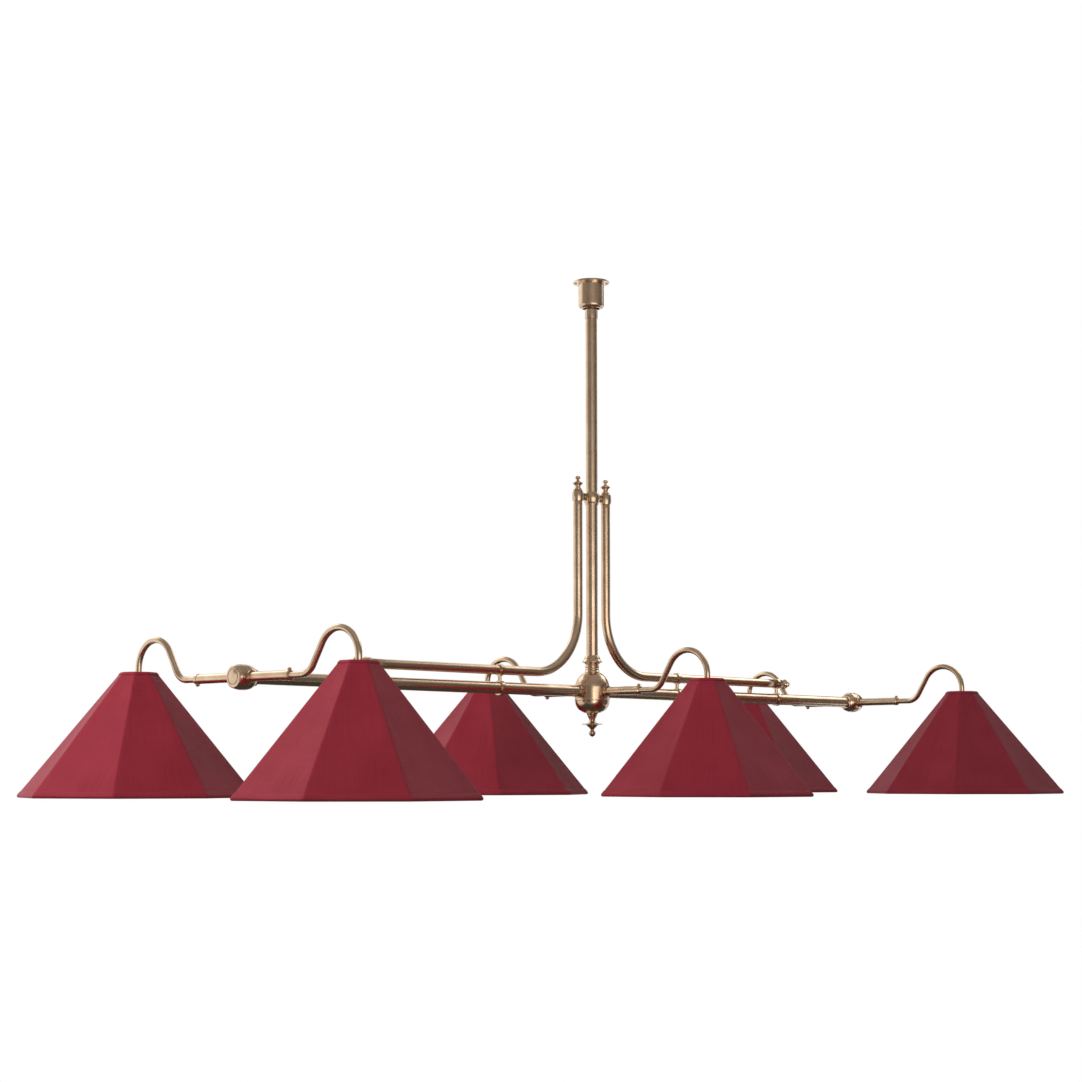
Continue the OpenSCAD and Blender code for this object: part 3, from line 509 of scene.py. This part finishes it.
def swept(path, radius, side, segments=16, closed=False):
    """A rod round a path that lies in a plane: a circle in the plane of side and the path's own normal.

    side is the unit normal of the path's plane; the ends of an open rod are closed by a shrunken ring.
    """
    path = np.asarray(path, float)
    ahead = np.roll(path, -1, axis=0) - path if closed else np.gradient(path, axis=0)
    if closed:
        ahead = ahead + np.roll(ahead, 1, axis=0)
    ahead /= np.linalg.norm(ahead, axis=1)[:, None]
    side = np.asarray(side, float)
    up = np.cross(ahead, side)
    run = np.concatenate([[0], np.cumsum(np.linalg.norm(np.diff(path, axis=0), axis=1))])
    turn = np.linspace(0, 2 * np.pi, segments, endpoint=False)[None, :, None]
    ring = radius * (np.cos(turn) * up[:, None, :] + np.sin(turn) * side)
    points = path[:, None, :] + ring
    lay = np.stack(np.broadcast_arrays(radius * np.cos(turn[..., 0]), radius * np.sin(turn[..., 0]),
                                       run[:, None]), axis=-1)
    if not closed:
        points = np.concatenate([path[:1, None, :] + 0 * ring[:1], points, path[-1:, None, :] + 0 * ring[:1]])
        lay = np.concatenate([lay[:1], lay, lay[-1:]])
    return shape(points, lay, quads(len(points), segments, close_rows=closed))


def soft_corners(outline, radius, steps=4):
    """Outline whose corners are rounded: each corner becomes a parabola between points on its two sides."""
    outline = np.asarray(outline, float)
    back = outline[:-2] - outline[1:-1]
    front = outline[2:] - outline[1:-1]
    back_length = np.linalg.norm(back, axis=1)[:, None]
    front_length = np.linalg.norm(front, axis=1)[:, None]
    reach = np.minimum(radius, 0.45 * np.minimum(back_length, front_length))
    start = outline[1:-1] + back / back_length * reach
    end = outline[1:-1] + front / front_length * reach
    t = np.linspace(0, 1, steps)[None, :, None]
    curve = (1 - t) ** 2 * start[:, None] + 2 * t * (1 - t) * outline[1:-1, None] + t ** 2 * end[:, None]
    return np.concatenate([outline[:1], curve.reshape(-1, 2), outline[-1:]])


# ---------- shades ----------

RELIEF_STEPS = 400
RELIEF_WINDOW = 7 * MM
RELIEF_FULL = 1.5 * MM
CORNER_SOFT = 4.5 * MM
CORNER_STEPS = np.array([0, 0.5, 1.0, 1.7, 2.5, 3.5, 4.5]) * MM
PANEL_STEPS = 9
PANEL_PULL = 1.6 * MM
SEAM_DEPTH = 0.35 * MM
SEAM_SIDE = 1.3 * MM
HEM_W = 12.0
TOP_BAND_W = 8.0
HEM_LIFT = 4.0 * MM
WALL = 2.0 * MM
WIRE_R = 1.5 * MM
FREE_GAP = 0.3 * MM
FIT_GAP = 0.1 * MM
RIM_INSET = 3.5 * MM
CARRIER_DROP = 11.5 * MM
CARRIER_REACH = 22.5 * MM
SKIN_T = 0.6 * MM
SHADE_ROWS = 44
PANEL_SHIFT = 0.7
LINING_INSET = 1.3 * MM
SKIN_ROWS = (0.014, 0.996)
LINING_ROWS = (0.024, 0.988)


def octagon(outline, measure, pull=None, seams=False):
    """Outline of (distance of the flats from the axis, height) carried round an octagon.

    Each row's side runs from -half to half, with half = flats * tan(22.5). Near a corner the surface is let
    in by tan(22.5) * (soft - d)^2 / (2 soft), d being the distance to the corner, so the corner is round.
    Pull lets a panel in by pull * (1 - (across / half)^2).
    """
    flats, height = outline[:, :1], outline[:, 1:]
    half = flats * np.tan(HALF_SIDE)
    rest = np.linspace(0, 1, PANEL_STEPS + 1)[1:]
    near = np.broadcast_to(CORNER_STEPS, (len(outline), len(CORNER_STEPS)))
    to_corner = np.concatenate([near, CORNER_STEPS[-1] + (half - CORNER_STEPS[-1]) * rest], axis=1)
    left = -(half - to_corner)
    across = np.concatenate([left, -left[:, -2:0:-1]], axis=1)
    to_corner = half - np.abs(across)
    let_in = np.tan(HALF_SIDE) * np.clip(CORNER_SOFT - to_corner, 0, None) ** 2 / (2 * CORNER_SOFT)
    if seams:
        let_in = let_in + SEAM_DEPTH * np.exp(-(to_corner / (0.5 * SEAM_SIDE)) ** 2)
        let_in = let_in - 0.5 * SEAM_DEPTH * np.exp(-((to_corner - SEAM_SIDE) / (0.6 * SEAM_SIDE)) ** 2)
    if pull is not None:
        let_in = let_in + pull[:, None] * (1 - (across / half) ** 2)
    out = flats - let_in
    side = measure["corner"] + HALF_SIDE + 2 * HALF_SIDE * np.arange(SIDES)
    cos, sin = np.cos(side)[None, :, None], np.sin(side)[None, :, None]
    x = measure["x"] + out[:, None, :] * cos - across[:, None, :] * sin
    y = measure["y"] + out[:, None, :] * sin + across[:, None, :] * cos
    z = np.broadcast_to(height[:, :, None], x.shape)
    run = np.concatenate([[0], np.cumsum(np.linalg.norm(np.diff(outline, axis=0), axis=1))])
    panel = PANEL_SHIFT * np.arange(SIDES)[None, :, None]
    lay = np.stack(np.broadcast_arrays(across[:, None, :] + panel, run[:, None, None], 0.0), axis=-1)
    points = np.stack([x, y, z], axis=-1)
    return points.reshape(len(outline), -1, 3), lay.reshape(len(outline), -1, 3)


def slope(measure):
    """Foot and top of the shade's outer face, as (flats, height), and its unit slope and outward normal."""
    shrink = np.cos(HALF_SIDE)
    foot = np.array([measure["foot_r"] * shrink, measure["foot"]])
    top = np.array([measure["top_r"] * shrink, measure["top"]])
    length = np.linalg.norm(top - foot)
    up = (top - foot) / length
    return foot, top, up, np.array([up[1], -up[0]]), length


def cloth_panel(name, measure, inset, row_limits, paint, body, seams):
    """One layer of cloth stretched round the eight ribs.

    t runs from 0 at the foot to 1 at the top; each panel is let in by PANEL_PULL * sin(pi * t) ^ 0.8.
    """
    foot, _, up, out, length = slope(measure)
    t = np.linspace(*row_limits, SHADE_ROWS)
    rows = foot + up * (t * length)[:, None] - out * inset
    points, lay = octagon(rows, measure, pull=PANEL_PULL * np.sin(np.pi * t) ** 0.8, seams=seams)
    form = shape(points, lay, quads(len(points), points.shape[1]))
    cloth = piece(name, form, paint, body, closed=False)
    thick = cloth.modifiers.new("cloth thickness", "SOLIDIFY")
    thick.thickness = SKIN_T
    thick.offset = -1
    return cloth


def folded_band(name, measure, at_top, width, body):
    """Strip of the same satin folded round a rim: a flat loop carried round the octagon.

    The loop is written as (proud of the cloth, distance up from the rim) in millimetres.
    """
    loop = [(0.1, width), (0.8, width - 0.6), (1.0, width * 0.5), (0.9, 1.2), (-0.6, -1.1), (-3.2, -1.9),
            (-5.8, -1.0), (-6.8, 1.2), (-6.8, 8.5), (-6.1, 8.5), (-6.1, 1.6), (-3.2, -1.2), (-0.2, 0.9),
            (0.1, width)]
    loop = soft_corners(loop, 1.6)[:-1] * MM
    foot, top, up, out, _ = slope(measure)
    rim, along = (top, -up) if at_top else (foot + HEM_LIFT * up, up)
    rows = rim + out * loop[:, :1] + along * loop[:, 1:]
    points, lay = octagon(rows, measure)
    lay = lay[..., [1, 0, 2]]
    form = shape(points, lay, quads(len(points), points.shape[1], close_rows=True))
    return piece(name, form, "satin", body)


def corner_ring(measure, reach, height, soft=0.004, steps=5):
    """Closed octagon path with soft corners, at a height."""
    angles = measure["corner"] + 2 * HALF_SIDE * np.arange(-1, SIDES + 1)
    loop = np.stack([measure["x"] + reach * np.cos(angles), measure["y"] + reach * np.sin(angles)], axis=1)
    flat = soft_corners(loop, soft, steps)[1:-1]
    return np.column_stack([flat, np.full(len(flat), height)])


def shade_wires(k, measure, body):
    """The shade's wire frame: two octagon rims, eight ribs, four struts and the carrier ring."""
    axis = np.array([measure["x"], measure["y"]])
    run = (measure["foot_r"] - measure["top_r"]) / (measure["top"] - measure["foot"])
    lean = np.arctan(run * np.cos(HALF_SIDE))
    wall_corner = WALL / np.cos(HALF_SIDE) / np.cos(lean)
    rib_inset = wall_corner + (WIRE_R + FREE_GAP) / np.sin(3 * HALF_SIDE) / np.cos(lean)
    low, high = measure["foot"] + RIM_INSET, measure["top"] - RIM_INSET

    def corner_reach(height):
        return measure["top_r"] + (measure["top"] - height) * run

    def rim(height):
        reach = corner_reach(height + WIRE_R) - wall_corner - FIT_GAP - WIRE_R / np.cos(HALF_SIDE)
        return swept(corner_ring(measure, reach, height), WIRE_R, (0, 0, 1), 12, closed=True)

    def spoke(angle, inner, inner_z, outer, outer_z):
        way = np.array([np.cos(angle), np.sin(angle)])
        ends = [[*(axis + way * inner), inner_z], [*(axis + way * outer), outer_z]]
        path = np.linspace(*np.array(ends), 6)
        return swept(path, WIRE_R, (-way[1], way[0], 0), 12)

    carrier_z = RAIL_Z - CARRIER_DROP
    rib_low, rib_high = corner_reach(low) - rib_inset, corner_reach(high) - rib_inset
    angles = measure["corner"] + 2 * HALF_SIDE * np.arange(SIDES)
    parts = [rim(low), rim(high)]
    parts += [spoke(angle, rib_low, low, rib_high, high) for angle in angles]
    parts += [spoke(angle, CARRIER_REACH, carrier_z, rib_high, high) for angle in angles[::2]]
    ring = soft_corners([(15.6, 1.2), (23.8, 1.2), (23.8, -1.2), (15.6, -1.2), (15.6, 1.2), (23.8, 1.2)], 0.5)
    parts.append(turned(ring[1:-1] * MM, (*axis, carrier_z), (0, 0, 1), 48, loop=True))
    return piece(f"shade_wires_{k}", together(parts), "wire", body, [f"shade_frame_{k}"])


def turned(outline, place, axis, segments=64, loop=False):
    """Outline of (radius, height) in metres, turned about an axis through a place.

    Relief is the outline's radius less its own average over RELIEF_WINDOW of its length, over RELIEF_FULL.
    """
    outline = np.asarray(outline, float)
    axis = np.asarray(axis, float)
    first = np.cross(axis, (0, 1, 0) if abs(axis[1]) < 0.9 else (1, 0, 0))
    first /= np.linalg.norm(first)
    second = np.cross(axis, first)
    turn = np.linspace(0, 2 * np.pi, segments, endpoint=False)[None, :, None]
    radius, height = outline[:, 0, None, None], outline[:, 1, None, None]
    points = np.asarray(place) + radius * (np.cos(turn) * first + np.sin(turn) * second) + height * axis
    run = np.concatenate([[0], np.cumsum(np.linalg.norm(np.diff(outline, axis=0), axis=1))])
    lay = np.stack(np.broadcast_arrays(radius[..., 0] * np.cos(turn[..., 0]),
                                       radius[..., 0] * np.sin(turn[..., 0]), run[:, None]), axis=-1)
    fine = np.linspace(0, run[-1], RELIEF_STEPS)
    even = np.interp(fine, run, outline[:, 0])
    window = max(3, int(RELIEF_STEPS * RELIEF_WINDOW / max(run[-1], RELIEF_WINDOW)) | 1)
    padded = np.pad(even, window // 2, mode="edge")
    smooth = np.convolve(padded, np.ones(window) / window, mode="valid")
    proud = np.interp(run, fine, even - smooth) / RELIEF_FULL
    relief = np.repeat(np.clip(proud, -1, 1), segments)
    return shape(points, lay, quads(len(outline), segments, close_rows=loop), relief)


def make_shade(k):
    """Outer satin, lining, hem, top band and wire frame of one shade."""
    measure = shade_measures(k)
    body = f"turning_shade_{k}"
    wires = shade_wires(k, measure, body)
    skin = cloth_panel(f"shade_skin_{k}", measure, 0.0, SKIN_ROWS, "satin", body, True)
    lining = cloth_panel(f"shade_lining_{k}", measure, LINING_INSET, LINING_ROWS, "lining", body, False)
    hem = folded_band(f"shade_hem_{k}", measure, False, HEM_W, body)
    band = folded_band(f"shade_top_band_{k}", measure, True, TOP_BAND_W, body)
    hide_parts(f"shade_{k}")


# ---------- bent tubes ----------

NECK_R = 7.0
NECK_IN = 121.0
NECK_START = 187.0
NECK_RISE_DEG = 58.0
NECK_BENDS = (40.0, 58.8)
BRACE_R = 11.0
BRACE_END = (748.0, 41.4)
BRACE_BEND = 145.0
BRACE_X = 50.0
BRACE_TOP = 485.0


def bent_run(start, heading_deg, moves):
    """Points of a flat run of straights and bends. A straight is (length, None); a bend is (radius, angle).

    A bend's points lie on the circle of that radius whose centre is square to the heading.
    """
    at, heading = np.array(start, float), np.radians(heading_deg)
    runs = [at[None]]
    for size, angle_deg in moves:
        if angle_deg is None:
            steps = at + np.linspace(0, 1, 9)[1:, None] * size * np.array([np.cos(heading), np.sin(heading)])
        else:
            turn = np.radians(angle_deg)
            hand = np.sign(turn)
            centre = at + hand * size * np.array([-np.sin(heading), np.cos(heading)])
            angles = heading + np.linspace(0, turn, int(abs(angle_deg) / 3) + 2)[1:]
            steps = centre - hand * size * np.stack([-np.sin(angles), np.cos(angles)], axis=1)
            heading += turn
        at = steps[-1]
        runs.append(steps)
    return np.concatenate(runs)


def make_goosenecks():
    """Six goosenecks: out along the arm, up at a slope, over the top and straight down to the lampholder."""
    lamp_y = abs(LAMP_AXES[1].y) / MM
    rise = np.radians(NECK_RISE_DEG)
    reach = lamp_y - NECK_BENDS[1] - NECK_START - sum(NECK_BENDS) * np.sin(rise)
    slant = reach / np.cos(rise)
    centre_z = NECK_BENDS[0] * (1 - np.cos(rise)) + slant * np.sin(rise) - NECK_BENDS[1] * np.cos(rise)
    flat = bent_run((NECK_IN, 0), 0, [(NECK_START - NECK_IN, None), (NECK_BENDS[0], NECK_RISE_DEG),
                                      (slant, None), (NECK_BENDS[1], -90 - NECK_RISE_DEG), (centre_z, None)])
    for k, axis in LAMP_AXES.items():
        hand = np.sign(axis.y)
        path = np.column_stack([np.full(len(flat), axis.x), hand * flat[:, 0] * MM, RAIL_Z + flat[:, 1] * MM])
        piece(f"gooseneck_tube_{k}", swept(path, NECK_R * MM, (1, 0, 0), 32), "bent", f"neck_{k}",
              [f"gooseneck_{k}"])


def make_braces():
    """Two braces: in along the rail, round one large bend and up beside the stem."""
    flat = bent_run(BRACE_END, 180, [(BRACE_END[0] - BRACE_X - BRACE_BEND, None), (BRACE_BEND, -90),
                                     (BRACE_TOP - BRACE_END[1] - BRACE_BEND, None)])
    for side, hand in {"left": -1, "right": 1}.items():
        path = np.column_stack([hand * flat[:, 0] * MM, np.zeros(len(flat)), RAIL_Z + flat[:, 1] * MM])
        piece(f"brace_tube_{side}", swept(path, BRACE_R * MM, (0, 1, 0), 40), "bent", "lamp_frame",
              [f"brace_{side}"])


# ---------- turned brass ----------

def arc(x, z, radius, start_deg, end_deg, steps):
    """Points on a circle, as (radius, height)."""
    angles = np.radians(np.linspace(start_deg, end_deg, steps))
    return [(x + radius * np.cos(a), z + radius * np.sin(a)) for a in angles]


def turned_brass(name, outline, places, body, replaced, edge=0.8):
    """One outline in millimetres, its corners rounded by edge, turned at each place: a (point, axis)."""
    soft = soft_corners(outline, edge) * MM
    forms = [turned(soft, point, axis) for point, axis in places]
    return piece(name, together(forms), "turned", body, replaced)


TUBE_FINIAL = [(0, -2), (9.2, -2), (9.2, 0), (11, 0), (10.5, 1.8), (8.2, 4), (6.9, 5.6), (6.4, 8),
               (6.6, 10.4), (8.4, 12.2), (11.1, 14.1), (12.5, 15.9), (12.5, 16.9), (11.3, 18.1),
               (8.4, 19.9), (5, 21.5), (3.6, 23.3), (3.4, 25), (3.5, 26.2), (5.4, 27.2), (6.7, 28.9),
               (6.9, 30.4), (6.3, 32), (4.6, 33.4), (2.3, 34.2), (0, 34.4)]
END_CAP = [(0, -2), (19, -2), (19, 0), (23.3, 0), (23.3, 1.2), (21.9, 2.4), (16.8, 3.6), (15.8, 2.5),
           (14.9, 3.6), (9.3, 4.5), (4.7, 4.9), (0, 5)]
NECK_BELL = [(7, 12), (11, 12), (11, 46), (18, 46), (18.4, 47.5), (17, 49.5),
             *arc(14.6, 53.5, 2.6, -60, 60, 6), *arc(14.2, 60, 3, -55, 55, 6), (15.2, 65), (17, 66.5),
             (21, 69), *arc(22, 71.5, 2, -60, 75, 6), (20, 77), (18.8, 81), (17.4, 84), (16.6, 85.6),
             (15.8, 87), (14.1, 87), (14.1, 70), (7, 70), (7, 12), (11, 12)]
BOWL = [(38.9, -15.5), (38.9, -18.5), (42.3, -18.5), (42.3, -20.9), *arc(11.5, -21.7, 30, 0, -70, 12),
        (20, -51), (5.1, -51), (5.1, -48.5), (19, -48.5), *arc(11.5, -21.7, 27.5, -70, 0, 12),
        (36.9, -21.5), (36.9, -15.5), (38.9, -15.5), (38.9, -18.5)]
BOTTOM_FINIAL = [(0, -46), (5, -46), (5, -51), (14, -51), (14.2, -52.6), (12.2, -55), (11.4, -58.5),
                 (8.4, -64), (7, -68), (7.2, -71), (9.6, -74.5), (15, -76.6), (24.5, -77), (25, -77.8),
                 (24.4, -78.8), (16, -80.2), (11.4, -83), (7, -87), (3.8, -91),
                 *arc(0, -99.5, 8, 55, -52, 11), (2.6, -107.4), (0, -108.5)]
COUPLER = [(14.1, -93.5), (14.3, -93.5), (15.5, -92.3), (15.5, -69.9), (13.1, -67.5), (6.6, -67.5),
           (6.6, -75.5), (14.1, -75.5), (14.1, -93.5), (14.3, -93.5)]
KNOB = [(0, 8.2), (2.5, 8.2), (2.5, 11.3), (4, 11.3), (4.8, 12.1), *arc(0, 9.77, 5.73, 33, 88, 10),
        (0, 15.5)]


def make_turned_brass():
    """Finials, caps, the neck, the bowl, the coupler and the knobs, at the places of their nodes."""
    rail = Vector((0, 0, RAIL_Z))
    finials = []
    for hand in (-1, 1):
        finials.append((rail + MM * Vector((hand * BRACE_X, 0, BRACE_TOP)), (0, 0, 1)))
        finials.append((rail + MM * Vector((hand * BRACE_END[0], 0, BRACE_END[1])), (hand, 0, 0)))
    turned_brass("tube_finials", TUBE_FINIAL, finials, "lamp_frame", ["brace_finials"], 0.6)
    cap_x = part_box("end_hubs")[1].x
    caps = [(rail + Vector((hand * cap_x, 0, 0)), (hand, 0, 0)) for hand in (-1, 1)]
    turned_brass("hub_caps", END_CAP, caps, "lamp_frame", ["end_caps"], 0.7)
    upright = [(rail, (0, 0, 1))]
    turned_brass("neck_bell", NECK_BELL, upright, "lamp_frame", ["ball_neck"])
    turned_brass("ball_bowl", BOWL, upright, "lamp_frame", ["ball_lower_shell"], 0.6)
    turned_brass("drop_finial", BOTTOM_FINIAL, upright, "lamp_frame", ["bottom_finial"], 0.7)
    turned_brass("stem_cap", COUPLER, [(Vector((0, 0, 0)), (0, 0, 1))], "lamp_frame",
                 ["stem_coupler"], 0.5)
    for k in LAMPS:
        point = middle(f"knob_{k}")
        hand = np.sign(point.z - RAIL_Z)
        turned_brass(f"thumb_knob_{k}", KNOB, [(Vector((point.x, point.y, RAIL_Z)), (0, 0, hand))],
                     f"clamp_knob_{k}", [f"knob_{k}"], 0.3)


# ---------- paint for the frame's own pieces ----------

NODE_PAINTS = {
    "tube_x": ["rails"],
    "tube_y": ["arm_tubes"],
    "tube_z": ["stem_tube"],
    "cast": ["ceiling_plate", "ceiling_cup", "cup_screws", "swivel_socket", "swivel_ball",
             "yoke_clamp", "yoke_screws", "rail_links", "ball_upper_shell", "junction_block", "end_hubs",
             "arm_collars"],
    "holder": [f"lampholder_{k}" for k in LAMPS],
    "glass": [f"bulb_{k}" for k in LAMPS],
    "fibre": ["seat_washer"],
}


def paint_nodes():
    """Gives every shown node of the frame its material."""
    for paint, names in NODE_PAINTS.items():
        for name in names:
            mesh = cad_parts[name].data
            mesh.materials.clear()
            mesh.materials.append(PAINTS[paint])


# ---------- the scene ----------

bpy.context.scene.view_settings.view_transform = "Standard"
set_camera()
set_world(0.22)
set_floor()
softbox("left key", 285, 26, 3.4, 2.2, 2.0, 95)
softbox("front light", 208, 36, 5.0, 2.6, 2.2, 75)
softbox("right fill", 140, 35, 4.8, 2.0, 2.0, 4)
softbox("back light left", 325, 24, 5.0, 2.2, 1.6, 45)
softbox("back light right", 84, 24, 5.0, 2.2, 1.6, 12)
for card in STUDIO_CARDS:
    studio_card(*card)
paint_nodes()
make_braces()
make_goosenecks()
make_turned_brass()
for k in LAMPS:
    make_shade(k)
